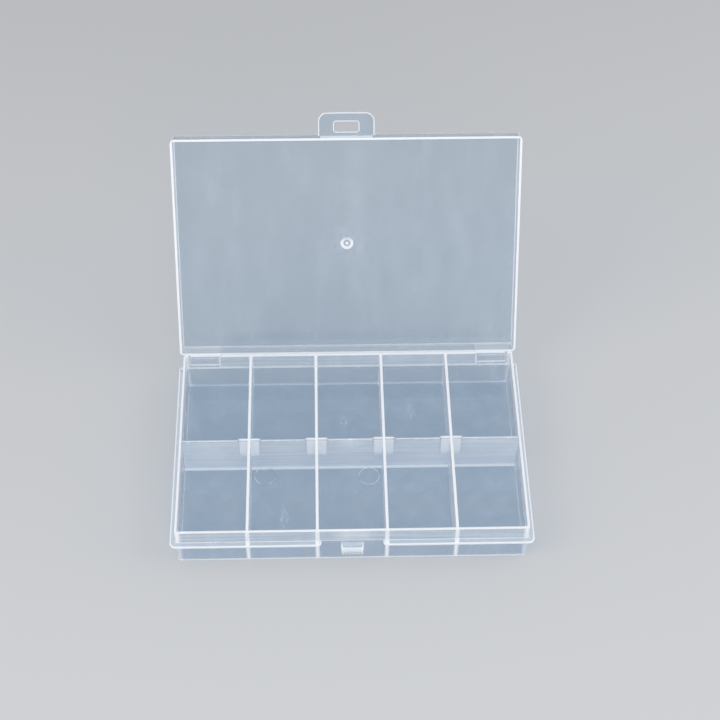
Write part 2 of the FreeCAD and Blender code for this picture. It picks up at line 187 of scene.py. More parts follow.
class Shade:
    """The node tree of one material or of the world."""

    def __init__(self, owner: bpy.types.Material | bpy.types.World) -> None:
        """Empty the owner's node tree.

        Args:
            owner: The material or the world.
        """
        owner.use_nodes = True
        self.tree = owner.node_tree
        self.tree.nodes.clear()

    def node(
        self,
        kind: str,
        settings: Mapping[str, object] | None = None,
        sockets: Mapping[str | int, Value] | None = None,
        out: str | int = 0,
    ) -> Term:
        """Add a node.

        Args:
            kind: The node's type, without its ShaderNode prefix.
            settings: The node's own settings, which are set first.
            sockets: Values or links of its inputs, by name or number.
            out: The output that the result stands for.

        Returns:
            That output.
        """
        made = self.tree.nodes.new("ShaderNode" + kind)
        for key, setting in (settings or {}).items():
            setattr(made, key, setting)
        for key, value in (sockets or {}).items():
            if isinstance(value, Term):
                self.tree.links.new(value.socket, made.inputs[key])
            else:
                made.inputs[key].default_value = value
        return Term(self, made, out)

    def place(self) -> Term:
        """The point on the piece in millimetres."""
        return self.node("TexCoord", out="Object") * (1 / MM)

    def axes(self, place: Term) -> tuple[Term, Term, Term]:
        """The x, y and z of a vector."""
        split = self.node("SeparateXYZ", {}, {0: place})
        return split, split.part(1), split.part(2)

    def noise(self, place: Term, size: float, detail: float = 2.0, twist: float = 0.0) -> Term:
        """Soft noise.

        Args:
            place: The point in millimetres.
            size: The size of its patches in millimetres.
            detail: Octaves of finer noise.
            twist: How far the patches are distorted.

        Returns:
            A value about 0.5.
        """
        sockets = {"Vector": place, "Scale": 1 / size, "Detail": detail, "Distortion": twist}
        return self.node("TexNoise", {}, sockets)

    def upright(self) -> Term:
        """1 on an upright face and 0 on a level one."""
        normal = self.node("NewGeometry", out="Normal")
        return 1.0 - abs(self.axes(normal)[2])

    def reach(self, first: Term, second: Term) -> Term:
        """The distance that two lengths at a right angle span."""
        return (first**2.0 + second**2.0) ** 0.5

    def outline(self, across: Term, along: Term, half: Pair, radius: float) -> Term:
        """The distance to a rounded rectangle about the origin.

        Args:
            across: The point's first coordinate in millimetres.
            along: Its second coordinate.
            half: Half of the rectangle's two sides.
            radius: The radius of its corners.

        Returns:
            The distance in millimetres, negative inside.
        """
        over = abs(across) - (half[0] - radius)
        past = abs(along) - (half[1] - radius)
        corner = self.reach(over.most(0.0), past.most(0.0))
        return corner + over.most(past).least(0.0) - radius

    def tone(self, share: Term, start: Colour, end: Colour) -> Term:
        """A colour between two."""
        sockets = {0: share, 6: start, 7: end}
        return self.node("Mix", {"data_type": "RGBA"}, sockets, out=2)


class Spot:
    """A point on a piece, with its coordinates along the piece's own axes."""

    def __init__(self, shade: Shade, place: Term) -> None:
        """Split a place into coordinates.

        Args:
            shade: The material's nodes.
            place: The point in millimetres.
        """
        self.shade = shade
        self.place = place
        self.across, self.along, self.height = shade.axes(place)
        self.side = abs(self.across)
        self.run = abs(self.along)


@dataclass(frozen=True)
class Edge:
    """A whitened stretch: the value where it starts, the value where it is full, and its haze there."""

    start: float
    full: float
    haze: float = 1.0

    def on(self, value: Term) -> Term:
        """The haze at a coordinate or at a value of noise."""
        return value.rise(self.start, self.full) * self.haze


@dataclass(frozen=True)
class Line:
    """A whitened line: its middle, its reach to either side, and its haze."""

    middle: float
    reach: float
    haze: float = 1.0

    def on(self, value: Term) -> Term:
        """The haze at a coordinate."""
        return value.near(self.middle, self.reach) * self.haze


@dataclass(frozen=True)
class LidFrame:
    """Where the opened lid stands: closed-lid millimetres about the hinge line."""

    pivot: Pair = (60.2, 16.4)
    opened: float = math.radians(-115.0)

    def at_rest(self, x: float, y: float, z: float) -> Vector:
        """A closed-lid point as it stands at rest, in metres."""
        turned = Matrix.Rotation(self.opened, 3, "X") @ Vector((x, y, z))
        return (turned + Vector((0.0, *self.pivot))) * MM

    def place(self, shade: Shade) -> Term:
        """The point on the piece in closed-lid millimetres."""
        sockets = {"Vector": shade.place() - (0.0, *self.pivot), "Angle": -self.opened}
        return shade.node("VectorRotate", {"rotation_type": "X_AXIS"}, sockets)


LID_FRAME = LidFrame()


@dataclass(frozen=True)
class ClearPlastic:
    """Clear polypropylene: a blue-grey cast, a milky share and a glossy skin."""

    name: str
    tint: Colour = (0.67, 0.752, 0.835, 1.0)
    milk: Colour = (0.93, 0.945, 0.97, 1.0)
    shade_tint: Colour = (0.86, 0.90, 0.94, 1.0)
    refraction: float = 1.49
    clear_share: float = 0.94
    milky_share: float = 0.15
    gloss: float = 0.06
    dulling: float = 0.30
    milky_gloss: float = 0.35
    base_haze: float = 0.03
    streak_size: Triple = (8.0, 8.0, 40.0)
    streak_detail: float = 3.0
    streaks: Edge = Edge(0.4, 0.8)
    streak_haze: float = 0.06
    cloud_size: float = 26.0
    clouds: Edge = Edge(0.4, 0.75, 0.5)
    mottle_size: float = 30.0
    mottle: Edge = Edge(0.55, 0.8, 0.1)
    wave_size: float = 24.0
    wave_height: float = 0.02
    grain_size: float = 0.6
    grain_height: float = 0.0006

    def place(self, shade: Shade) -> Term:
        """The point on the piece in millimetres, along the piece's own axes."""
        return shade.place()

    def marks(self, spot: Spot) -> Term:
        """The haze that belongs to this piece alone, from 0 to 1."""
        return self.mottle.on(spot.shade.noise(spot.place, self.mottle_size))

    def haze(self, shade: Shade, place: Term) -> Term:
        """The share of milky plastic, which also carries the painted glow and painted shading of the
        marks.

        Args:
            shade: The material's nodes.
            place: The point in millimetres.

        Returns:
            A share from 0, clear, to 1, milky.
        """
        stretched = place * tuple(1 / size for size in self.streak_size)
        streaks = self.streaks.on(shade.noise(stretched, 1.0, self.streak_detail))
        clouds = self.clouds.on(shade.noise(place, self.cloud_size))
        flow = (streaks + clouds) * self.streak_haze
        return (flow + self.base_haze + self.marks(Spot(shade, place))).least(1.0)

    def skin(self, shade: Shade, place: Term) -> Term:
        """The skin's slow waves and fine grain.

        Args:
            shade: The material's nodes.
            place: The point in millimetres.

        Returns:
            The normal.
        """
        waves = (shade.noise(place, self.wave_size, 1.0) - 0.5) * (self.wave_height * MM)
        grain = (shade.noise(place, self.grain_size, 1.0) - 0.5) * (self.grain_height * MM)
        return shade.node("Bump", {}, {"Height": waves + grain, "Distance": 1.0})

    def material(self) -> bpy.types.Material:
        """Mix the clear and the milky plastic, and let light through to what lies below.

        Returns:
            The finish as a material.
        """
        made = bpy.data.materials.new(self.name)
        shade = Shade(made)
        place = self.place(shade)
        haze = self.haze(shade, place)
        common = {
            "Base Color": shade.tone(haze, self.tint, self.milk),
            "IOR": self.refraction,
            "Normal": self.skin(shade, place),
        }
        roughness = haze * self.dulling + self.gloss
        glossy = {"Roughness": roughness, "Transmission Weight": self.clear_share}
        dull = {"Roughness": self.milky_gloss, "Transmission Weight": self.milky_share}
        clear = shade.node("BsdfPrincipled", {}, common | glossy)
        milky = shade.node("BsdfPrincipled", {}, common | dull)
        surface = shade.node("MixShader", {}, {0: haze, 1: clear, 2: milky})
        passed = shade.node("BsdfTransparent", {}, {"Color": self.shade_tint})
        light = shade.node("LightPath")
        for kind in ("Is Shadow Ray", "Is Diffuse Ray"):
            surface = shade.node("MixShader", {}, {0: light.part(kind), 1: surface, 2: passed})
        shade.node("OutputMaterial", {}, {"Surface": surface})
        return made


@dataclass(frozen=True)
class TrayPlastic(ClearPlastic):
    """The tray's plastic, whitened along its rim, its flange and its foot as painted glow."""

    name: str = "tray_clear"
    rim: Edge = Edge(23.5, 23.85, 0.92)
    flange_half: Pair = (87.7, 57.7)
    flange_middle: float = -1.0
    flange_corner: float = 3.0
    flange_edge: Edge = Edge(-0.8, -0.3, 0.75)
    flange_level: Line = Line(16.0, 0.5)
    flange_root: Line = Line(-2.75, 0.6, 0.8)
    flange_top: Edge = Edge(-2.9, -2.6, 0.4)
    flange_rear: Edge = Edge(52.4, 51.4)
    end_corner: Pair = (16.85, -56.7)
    end_edge: Edge = Edge(1.2, 1.65, 0.85)
    end_front: Edge = Edge(-56.3, -56.5)
    post_corner: Pair = (83.4, 54.4)
    post_edge: Edge = Edge(-0.7, 0.3)
    post_upper: Edge = Edge(15.0, 16.0, 0.3)
    post_haze: float = 0.3
    foot_half: Pair = (84.6, 55.6)
    foot_edge: Edge = Edge(-1.3, -0.6)
    foot_height: Edge = Edge(2.2, 1.5)
    foot_front: Edge = Edge(54.0, 50.0, 0.6)
    foot_haze: float = 0.3
    inner_foot: Line = Line(1.4, 0.7, 0.16)
    comb_stretch: Triple = (0.03, 0.03, 1.0)
    comb_size: float = 1.6
    comb: Edge = Edge(0.3, 0.75, 0.14)
    upper_wall: Edge = Edge(15.6, 16.2)
    upper_haze: float = 0.26
    front_wall: Edge = Edge(-53.6, -54.4, 0.13)
    side_walls: Edge = Edge(81.5, 83.0)
    side_upper: float = 0.1
    side_haze: float = 0.25
    end_walls: Edge = Edge(53.0, 53.4)
    rear_line_foot: Edge = Edge(14.5, 14.9)
    rear_line_top: Edge = Edge(16.1, 15.7, 0.95)
    notch_level: Edge = Edge(15.8, 16.2)
    notch: Line = Line(66.45, 0.6, 0.8)
    seams: tuple[Line, Line] = (Line(16.76, 1.5, 0.92), Line(50.28, 1.5, 0.92))
    long_seam: Edge = Edge(1.7, 1.1)
    long_seam_level: Line = Line(1.2, 0.3, 0.8)
    bloom_wall: Edge = Edge(-53.0, -54.0)
    bloom_side: Edge = Edge(12.0, 3.0)
    bloom_height: Edge = Edge(13.0, 20.0, 0.2)
    scuffs: tuple[Pair, ...] = ((32.0, 36.0), (-33.4, -31.0), (-2.9, 27.4))
    scuff_half: Pair = (3.0, 8.5)
    scuff_edge: Edge = Edge(1.0, 0.2)
    scuff_floor: Edge = Edge(1.6, 1.3)
    stroke_stretch: Triple = (1.0, 0.5, 0.0)
    stroke_size: float = 1.5
    stroke_detail: float = 3.0
    stroke_twist: float = 2.5
    strokes: Edge = Edge(0.5, 0.62, 0.27)

    def marks(self, spot: Spot) -> Term:
        """All that whitens the tray; its edge lines are painted glow.

        Args:
            spot: The point on the tray.

        Returns:
            The haze, from 0 to 1.
        """
        upright = spot.shade.upright()
        middle = spot.along - self.flange_middle
        beyond = spot.shade.outline(spot.across, middle, self.flange_half, self.flange_corner)
        # The rim, flange, foot, corner and joint lines are whitened as painted glow, the light carried
        # along the edges.
        lines = self.rim.on(spot.height).most(self.flange_edge.on(beyond)).most(self.flange_ends(spot))
        lines = lines.most(self.foot(spot)).most(self.rear(spot)).most(self.joints(spot))
        lines = lines.most(self.posts(spot) * upright)
        return lines + self.walls(spot, upright) + self.flange(spot, beyond) + self.wear(spot)

    def flange_ends(self, spot: Spot) -> Term:
        """The painted glow along the rounded ends of the flange on both sides of the catch.

        Args:
            spot: The point on the tray.

        Returns:
            Their haze.
        """
        inward = (spot.side - self.end_corner[0]).least(0.0)
        forward = (spot.along - self.end_corner[1]).least(0.0)
        return self.end_edge.on(spot.shade.reach(inward, forward)) * self.end_front.on(spot.along)

    def flange(self, spot: Spot, beyond: Term) -> Term:
        """The painted glow on the flange's top and along its root.

        Args:
            spot: The point on the tray.
            beyond: The distance to the flange's outline.

        Returns:
            Their haze.
        """
        top = self.flange_top.on(beyond) * self.flange_rear.on(spot.along)
        return self.flange_root.on(beyond).most(top) * self.flange_level.on(spot.height)

    def posts(self, spot: Spot) -> Term:
        """Painted glow on the four upright corners, whiter above the flange.

        Args:
            spot: The point on the tray.

        Returns:
            Their haze.
        """
        corner = (spot.side - self.post_corner[0]).least(spot.run - self.post_corner[1])
        return self.post_edge.on(corner) * (self.post_upper.on(spot.height) + self.post_haze)

    def foot(self, spot: Spot) -> Term:
        """Painted glow along the rounded foot, fainter at the rear.

        Args:
            spot: The point on the tray.

        Returns:
            Its haze.
        """
        outside = (spot.side - self.foot_half[0]).most(spot.run - self.foot_half[1])
        low = self.foot_edge.on(outside) * self.foot_height.on(spot.height)
        return low * (self.foot_front.on(spot.along) + self.foot_haze)

    def rear(self, spot: Spot) -> Term:
        """Painted glow along the rear wall's line and the edges of its hinge notches.

        Args:
            spot: The point on the tray.

        Returns:
            Their haze.
        """
        line = self.rear_line_foot.on(spot.height) * self.rear_line_top.on(spot.height)
        notch = self.notch_level.on(spot.height) * self.notch.on(spot.side)
        return line.most(notch) * self.end_walls.on(spot.along)

    def joints(self, spot: Spot) -> Term:
        """Painted glow along the lines where the dividers meet the front and rear walls and the floor.

        Args:
            spot: The point on the tray.

        Returns:
            Their haze.
        """
        inner, outer = self.seams
        bars = inner.on(spot.side).most(outer.on(spot.side)) * self.end_walls.on(spot.run)
        return bars.most(self.long_seam.on(spot.run) * self.long_seam_level.on(spot.height))

    def walls(self, spot: Spot, upright: Term) -> Term:
        """The combed upper walls, the paler sides, the inner foot and the bloom behind the catch.

        Args:
            spot: The point on the tray.
            upright: 1 on an upright face and 0 on a level one.

        Returns:
            Their haze.
        """
        upper = self.upper_wall.on(spot.height)
        combed = self.comb.on(spot.shade.noise(spot.place * self.comb_stretch, self.comb_size))
        band = (upper * (combed + self.upper_haze)).most(self.front_wall.on(spot.along))
        sides = self.side_walls.on(spot.side) * (upper * self.side_upper + self.side_haze)
        bloom = self.bloom_wall.on(spot.along) * self.bloom_side.on(spot.side)
        bloom = bloom * self.bloom_height.on(spot.height)
        return upright * (self.inner_foot.on(spot.height) + band + sides) + bloom

    def wear(self, spot: Spot) -> Term:
        """Faint strokes of wear on the floor in a few places.

        Args:
            spot: The point on the tray.

        Returns:
            The haze that they add.
        """
        place = spot.place * self.stroke_stretch
        strokes = self.strokes.on(
            spot.shade.noise(place, self.stroke_size, self.stroke_detail, self.stroke_twist)
        )
        patches = []
        for x, y in self.scuffs:
            wide = (spot.across - x) * (1 / self.scuff_half[0])
            deep = (spot.along - y) * (1 / self.scuff_half[1])
            patches.append(self.scuff_edge.on(wide**2.0 + deep**2.0))
        wear_and_glints = sum(patches[1:], patches[0])
        return strokes * wear_and_glints * self.scuff_floor.on(spot.height)


@dataclass(frozen=True)
class CatchPlastic(ClearPlastic):
    """The catch's plastic, with painted glow on its sides and its edges."""

    name: str = "catch_clear"
    base_haze: float = 0.28
    narrowing: float = 0.17
    wall: float = -55.85
    sides: Edge = Edge(4.9, 5.35, 0.9)
    fade: Edge = Edge(15.05, 13.4)
    step: Line = Line(13.4, 0.35, 0.6)
    face: Edge = Edge(11.3, 11.9, 0.45)
    face_top: Edge = Edge(13.25, 13.15)

    def marks(self, spot: Spot) -> Term:
        """Sides, step and upper face, which fade out towards the top.

        Args:
            spot: The point on the catch.

        Returns:
            Their haze.
        """
        edge = spot.side - (spot.along - self.wall) * self.narrowing
        # The sides and the step are whitened as painted glow.
        sides = self.sides.on(edge) * self.fade.on(spot.height)
        face = self.face.on(spot.height) * self.face_top.on(spot.height)
        return sides.most(self.step.on(spot.height)).most(face)


@dataclass(frozen=True)
class PinMarkPlastic(ClearPlastic):
    """A raised pin mark, with painted highlights on its ring in places only, where it would catch the
    light.
    """

    name: str = "pin_mark_clear"
    base_haze: float = 0.1
    glint_size: float = 5.0
    wear_and_glints: Edge = Edge(0.4, 0.62, 0.6)

    def marks(self, spot: Spot) -> Term:
        """Painted highlights on stretches of the ring."""
        return self.wear_and_glints.on(spot.shade.noise(spot.place, self.glint_size))


@dataclass(frozen=True)
class DividerPlastic(ClearPlastic):
    """The cross dividers' plastic, with painted glow whitening the top and the two ends."""

    name: str = "divider_clear"
    base_haze: float = 0.2
    faces: Edge = Edge(0.3, 0.8, 0.42)
    top: Edge = Edge(23.5, 23.85, 0.92)
    inner_end: Edge = Edge(1.9, 0.7, 0.5)
    outer_end: Edge = Edge(53.6, 54.5, 0.7)
    foot: Edge = Edge(1.9, 1.2, 0.4)

    def marks(self, spot: Spot) -> Term:
        """Faces, and the ends, foot and top whitened as painted glow.

        Args:
            spot: The point on the divider.

        Returns:
            Their haze.
        """
        # The ends, the foot and the top are whitened as painted glow.
        ends = self.inner_end.on(spot.run) + self.outer_end.on(spot.run)
        faces = self.faces.on(spot.shade.upright())
        return (faces + ends + self.foot.on(spot.height)).most(self.top.on(spot.height))


@dataclass(frozen=True)
class LongWallPlastic(ClearPlastic):
    """The long divider's plastic, frosted on the pads at the crossings."""

    name: str = "long_wall_clear"
    streak_size: Triple = (45.0, 8.0, 1.7)
    streak_haze: float = 0.13
    faces: Edge = Edge(0.3, 0.8)
    face_haze: float = 0.48
    crossings: Pair = (16.76, 50.28)
    pad_half: float = 5.5
    pad_edge: Edge = Edge(0.0, 0.1)
    pad_fade: Edge = Edge(10.0, 16.0)
    pad_haze: float = 0.4
    comb_stretch: Triple = (1.0, 1.0, 0.02)
    comb_size: float = 1.1
    comb: Edge = Edge(0.25, 0.75, 0.25)
    top: Edge = Edge(22.9, 23.15)
    top_middle: Edge = Edge(0.6, 0.3)
    top_haze: float = 0.65
    top_pads: float = 0.3
    joint_half: float = 0.8
    joint_edge: Edge = Edge(0.05, 0.3)
    joint_top: Edge = Edge(23.6, 23.9, 0.92)
    foot: Edge = Edge(2.6, 2.0, 0.95)
    gate_side: Edge = Edge(9.0, 0.0)
    gate_height: Edge = Edge(12.0, 24.0, 0.2)

    def crossing(self, spot: Spot, half: float) -> Term:
        """1 at the crossings, falling to 0 at half a width to either side."""
        inner, outer = self.crossings
        return spot.side.near(inner, half).most(spot.side.near(outer, half))

    def marks(self, spot: Spot) -> Term:
        """Faces, combed pads, the bloom at the gate, and the top, joints and foot whitened as painted
        glow.

        Args:
            spot: The point on the wall.

        Returns:
            Their haze.
        """
        pads = self.pad_edge.on(self.crossing(spot, self.pad_half))
        combed = self.comb.on(spot.shade.noise(spot.place * self.comb_stretch, self.comb_size))
        frost = pads * self.pad_fade.on(spot.height) * (combed + self.pad_haze)
        faces = self.faces.on(spot.shade.upright()) * (frost + self.face_haze)
        # The top, the joints and the foot are whitened as painted glow.
        top = self.top.on(spot.height) * self.top_middle.on(spot.run)
        top = top * (pads * self.top_pads + self.top_haze)
        joints = self.joint_edge.on(self.crossing(spot, self.joint_half))
        top = top.most(joints * self.joint_top.on(spot.height))
        gate = self.gate_side.on(spot.side) * self.gate_height.on(spot.height)
        return (faces + gate).most(top).most(self.foot.on(spot.height))


@dataclass(frozen=True)
class OpenedPlastic(ClearPlastic):
    """The plastic of a piece that stands opened with the lid."""

    streak_size: Triple = (9.0, 30.0, 9.0)

    def place(self, shade: Shade) -> Term:
        """The point in closed-lid millimetres."""
        return LID_FRAME.place(shade)


@dataclass(frozen=True)
class LidPlastic(OpenedPlastic):
    """The lid's plastic, with painted glow along its rim, and whiter round the gate, where the dish
    carries painted shading.
    """

    name: str = "lid_clear"
    half: Pair = (87.5, 58.5)
    corner: float = 2.5
    middle: float = -60.2
    rim: Edge = Edge(0.3, -0.05, 0.95)
    skirt: Edge = Edge(-1.9, -1.3)
    skirt_haze: float = 0.22
    fold: Edge = Edge(5.4, 6.8)
    fold_front: Edge = Edge(-3.0, -6.0, 0.36)
    fold_haze: float = 0.14
    flank: Edge = Edge(85.5, 86.0, 0.42)
    flank_height: Edge = Edge(8.0, 7.0)
    stretch: Edge = Edge(-3.4, -2.9)
    stretch_side: Edge = Edge(66.0, 67.0, 0.2)
    dish_rim: Edge = Edge(3.45, 3.15)
    dish_hub: Edge = Edge(1.55, 2.05)
    dish_shading: Edge = Edge(-3.2, -0.6, 0.5)
    dish_haze: float = 0.25
    dot: Edge = Edge(0.95, 0.65, 0.85)
    ray_plane: Triple = (1.0, 1.0, 0.0)
    ray_size: float = 2.4
    ray_detail: float = 2.0
    ray_twist: float = 1.5
    rays: Edge = Edge(0.35, 0.75)
    bloom: Edge = Edge(16.0, 2.0, 0.14)

    def marks(self, spot: Spot) -> Term:
        """Rim and flanks whitened as painted glow, skirt, folds and the stretch beside the hinges, with
        the gate's mark.

        Args:
            spot: The point on the lid.

        Returns:
            Their haze.
        """
        run = spot.along - self.middle
        skirt = self.skirt.on(spot.shade.outline(spot.across, run, self.half, self.corner))
        fold = self.fold.on(spot.height) * (self.fold_front.on(spot.along) + self.fold_haze)
        flank = self.flank.on(spot.side) * self.flank_height.on(spot.height)
        stretch = self.stretch.on(spot.along) * self.stretch_side.on(spot.side)
        # The rim and the outer flanks are whitened as painted glow.
        rim = self.rim.on(spot.height).most(flank)
        return rim + skirt * (fold + self.skirt_haze) + stretch + self.gate(spot, run)

    def gate(self, spot: Spot, run: Term) -> Term:
        """The dished ring with painted shading, duller towards the lid's front, the dot in it and the
        bloom round it.

        Args:
            spot: The point on the lid.
            run: The coordinate from front to back about the ring's centre.

        Returns:
            Their haze.
        """
        far = spot.shade.reach(spot.across, run)
        # The dish is duller towards the lid's front: painted shading of its sloped ring.
        dish = self.dish_rim.on(far) * self.dish_hub.on(far) * (self.dish_shading.on(run) + self.dish_haze)
        plane = spot.place * self.ray_plane
        rays = self.rays.on(spot.shade.noise(plane, self.ray_size, self.ray_detail, self.ray_twist))
        return dish + self.dot.on(far) + self.bloom.on(far) * rays


@dataclass(frozen=True)
class FlapPlastic(OpenedPlastic):
    """The latch flap's plastic, with painted glow along its outline and its slot."""

    name: str = "flap_clear"
    plate_half: Pair = (14.0, 9.0)
    plate_middle: float = -122.8
    plate_corner: float = 4.6
    plate_edge: Edge = Edge(-0.8, -0.4, 0.65)
    slot_half: Pair = (6.1, 2.6)
    slot_middle: float = -124.5
    slot_corner: float = 1.1
    slot_edge: Edge = Edge(0.6, 0.25, 0.75)
    root: Edge = Edge(-120.1, -119.7, 0.5)

    def marks(self, spot: Spot) -> Term:
        """Outline and slot whitened as painted glow, and the root.

        Args:
            spot: The point on the flap.

        Returns:
            Their haze.
        """
        outline = spot.shade.outline
        plate = outline(spot.across, spot.along - self.plate_middle, self.plate_half, self.plate_corner)
        slot = outline(spot.across, spot.along - self.slot_middle, self.slot_half, self.slot_corner)
        # The outline and the slot edge are whitened as painted glow.
        return self.plate_edge.on(plate).most(self.slot_edge.on(slot)).most(self.root.on(spot.along))


@dataclass(frozen=True)
class FilmPlastic(ClearPlastic):
    """A hinge film's plastic, whitened where it leaves the tray, at the fold and on its inner side."""

    name: str = "film_whitened"
    base_haze: float = 0.06
    middle: float = 74.35
    start: Edge = Edge(57.2, 56.9, 0.3)
    fold: Edge = Edge(59.7, 60.2, 0.15)
    inner_side: Edge = Edge(6.85, 7.25, 0.6)

    def marks(self, spot: Spot) -> Term:
        """Start, fold and inner side."""
        inner = self.inner_side.on(self.middle - spot.side)
        return self.start.on(spot.along).most(self.fold.on(spot.along)).most(inner)


@dataclass(frozen=True)
class LatchFilmPlastic(ClearPlastic):
    """The latch's film, whitened all over by its fold."""

    name: str = "latch_film_whitened"
    base_haze: float = 0.5


@dataclass(frozen=True)
class NubPlastic(ClearPlastic):
    """The milky stub that the gate left."""

    name: str = "nub_milky"
    base_haze: float = 0.75


@dataclass(frozen=True)
class Rounding:
    """The rounding of a solid's sharp edges."""

    width: float = 0.18
    steps: int = 2
    sharp: float = math.radians(40.0)
    flat: float = math.radians(0.5)
    weld: float = 1e-6

    def soften(self, node: bpy.types.Object) -> None:
        """Round a solid's sharp edges.

        Args:
            node: The solid's object.
        """
        weld = node.modifiers.new("weld", "WELD")
        weld.merge_threshold = self.weld
        flat = node.modifiers.new("flats", "DECIMATE")
        flat.decimate_type = "DISSOLVE"
        flat.angle_limit = self.flat
        edge = node.modifiers.new("edges", "BEVEL")
        edge.width = self.width * MM
        edge.segments = self.steps
        edge.limit_method = "ANGLE"
        edge.angle_limit = self.sharp
        edge.use_clamp_overlap = False
        edge.harden_normals = True


def linked(name: str, mesh: bpy.types.Mesh) -> bpy.types.Object:
    """A new object in the scene.

    Args:
        name: The piece's name.
        mesh: Its mesh.

    Returns:
        The object.
    """
    made = bpy.data.objects.new(name, mesh)
    bpy.context.scene.collection.objects.link(made)
    return made


def lofted(name: str, rings: Sequence[Sequence[Vector]], closed: bool = False) -> bpy.types.Object:
    """A skin over rings of points.

    Args:
        name: The piece's name.
        rings: Rings of the same number of points each.
        closed: Whether the last ring meets the first; open skins get end caps.

    Returns:
        The piece.
    """
    bm = bmesh.new()
    skins = [[bm.verts.new(point) for point in ring] for ring in rings]
    pairs = list(zip(skins, skins[1:] + skins[:1] if closed else skins[1:]))
    for first, second in pairs:
        for index in range(len(first)):
            after = (index + 1) % len(first)
            bm.faces.new((first[index], first[after], second[after], second[index]))
    if not closed:
        bm.faces.new(reversed(skins[0]))
        bm.faces.new(skins[-1])
    bmesh.ops.recalc_face_normals(bm, faces=bm.faces)
    mesh = bpy.data.meshes.new(name)
    bm.to_mesh(mesh)
    bm.free()
    mesh.shade_smooth()
    return linked(name, mesh)


def strip_section(half_width: float, half_height: float, corner: float, steps: int = 4) -> list[Pair]:
    """The outline of a flat strip with rounded edges, in millimetres.

    Args:
        half_width: Half of the strip's width.
        half_height: Half of its thickness.
        corner: The radius of its four edges.
        steps: The steps round each edge.

    Returns:
        The outline's points, anticlockwise.
    """
    points = []
    for turn, (side, rise) in enumerate(((1, 1), (-1, 1), (-1, -1), (1, -1))):
        for step in range(steps + 1):
            angle = math.pi / 2 * (turn + step / steps)
            across = side * (half_width - corner) + corner * math.cos(angle)
            up = rise * (half_height - corner) + corner * math.sin(angle)
            points.append((across, up))
    return points


def dress(node: bpy.types.Object, material: bpy.types.Material) -> None:
    """Give a piece its one material and report it.

    Args:
        node: The piece.
        material: Its finish.
    """
    node.data.materials.clear()
    node.data.materials.append(material)
    LOG.info("%s wears %s", node.name, material.name)


@dataclass
class Tray:
    """The open tray with its catch and the marks of the ejector pins."""

    nodes: Mapping[str, bpy.types.Object]
    rounding: Rounding = Rounding()
    pin_marks: tuple[Pair, ...] = ((-43.06, -5.44), (9.38, -6.39))
    pin_radius: float = 5.15
    ridge: Pair = (0.34, 0.07)
    ridge_angles: tuple[float, ...] = (0.0, 0.6, 1.2, 1.94, 2.54, math.pi)
    floor_top: float = 1.2
    turns: int = 72

    def build(self) -> list[bpy.types.Object]:
        """Raise the rings left by two ejector pins.

        Returns:
            The rings.
        """
        rings = []
        for number, (x, y) in enumerate(self.pin_marks, 1):
            made = self.ring(f"pin_mark_{number}", x, y)
            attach(made, Body.TRAY.value)
            rings.append(made)
        return rings

    def ring(self, name: str, x: float, y: float) -> bpy.types.Object:
        """One low ring on the tray's floor.

        Args:
            name: The piece's name.
            x: Its centre across the tray in millimetres.
            y: Its centre from front to back in millimetres.

        Returns:
            The ring.
        """
        half, high = self.ridge[0] / 2, self.ridge[1]
        crest = [(half * math.cos(angle), high * math.sin(angle)) for angle in self.ridge_angles]
        base = Vector((x, y, self.floor_top + MARK_LIFT))
        rings = []
        for step in range(self.turns):
            turn = 2 * math.pi * step / self.turns
            out = Vector((math.cos(turn), math.sin(turn), 0.0))
            points = [base + out * (self.pin_radius + far) + Vector((0.0, 0.0, up)) for far, up in crest]
            rings.append([point * MM for point in points])
        return lofted(name, rings, closed=True)

    def dress(self, rings: Sequence[bpy.types.Object]) -> None:
        """Dress the shell, the catch and the rings.

        Args:
            rings: The pin marks.
        """
        finishes = {"tray_shell": TrayPlastic(), "latch_catch": CatchPlastic()}
        for name, finish in finishes.items():
            self.rounding.soften(self.nodes[name])
            dress(self.nodes[name], finish.material())
        mark = PinMarkPlastic().material()
        for ring in rings:
            dress(ring, mark)


@dataclass
class Dividers:
    """The long divider and the eight cross dividers."""

    nodes: Mapping[str, bpy.types.Object]
    rounding: Rounding = Rounding()
    rows: tuple[str, str] = ("front", "rear")
    count: int = 4
    wall_top: float = 23.2
    nub_length: float = 4.4
    nub_width: float = 1.0
    nub_height: float = 0.4
    nub_tip: float = 0.04
    nub_steps: int = 14
    nub_turns: int = 12

    def build(self) -> bpy.types.Object:
        """Raise the low nub that the gate left on the long divider's top.

        Returns:
            The nub.
        """
        rings = []
        for step in range(self.nub_steps + 1):
            share = 2.0 * step / self.nub_steps - 1.0
            swell = max(math.cos(share * math.pi / 2), self.nub_tip)
            ring = []
            for turn in range(self.nub_turns + 1):
                angle = math.pi * turn / self.nub_turns
                y = 0.5 * self.nub_width * swell * math.cos(angle)
                z = self.wall_top + MARK_LIFT + self.nub_height * swell * math.sin(angle)
                ring.append(Vector((0.5 * self.nub_length * share, y, z)) * MM)
            rings.append(ring)
        nub = lofted("gate_nub", rings)
        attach(nub, Body.TRAY.value)
        return nub

    def dress(self, nub: bpy.types.Object) -> None:
        """Dress the dividers and the nub.

        Args:
            nub: The gate's nub.
        """
        dress(nub, NubPlastic().material())
        plastic = DividerPlastic().material()
        for row in self.rows:
            for number in range(1, self.count + 1):
                node = self.nodes[f"{row}_divider_{number}"]
                self.rounding.soften(node)
                dress(node, plastic)
        wall = self.nodes["long_divider"]
        self.rounding.soften(wall)
        dress(wall, LongWallPlastic().material())


@dataclass
class Lid:
    """The shallow lid."""

    nodes: Mapping[str, bpy.types.Object]
    rounding: Rounding = Rounding()

    def dress(self) -> None:
        """Dress the lid's shell."""
        shell = self.nodes["lid_shell"]
        self.rounding.soften(shell)
        dress(shell, LidPlastic().material())


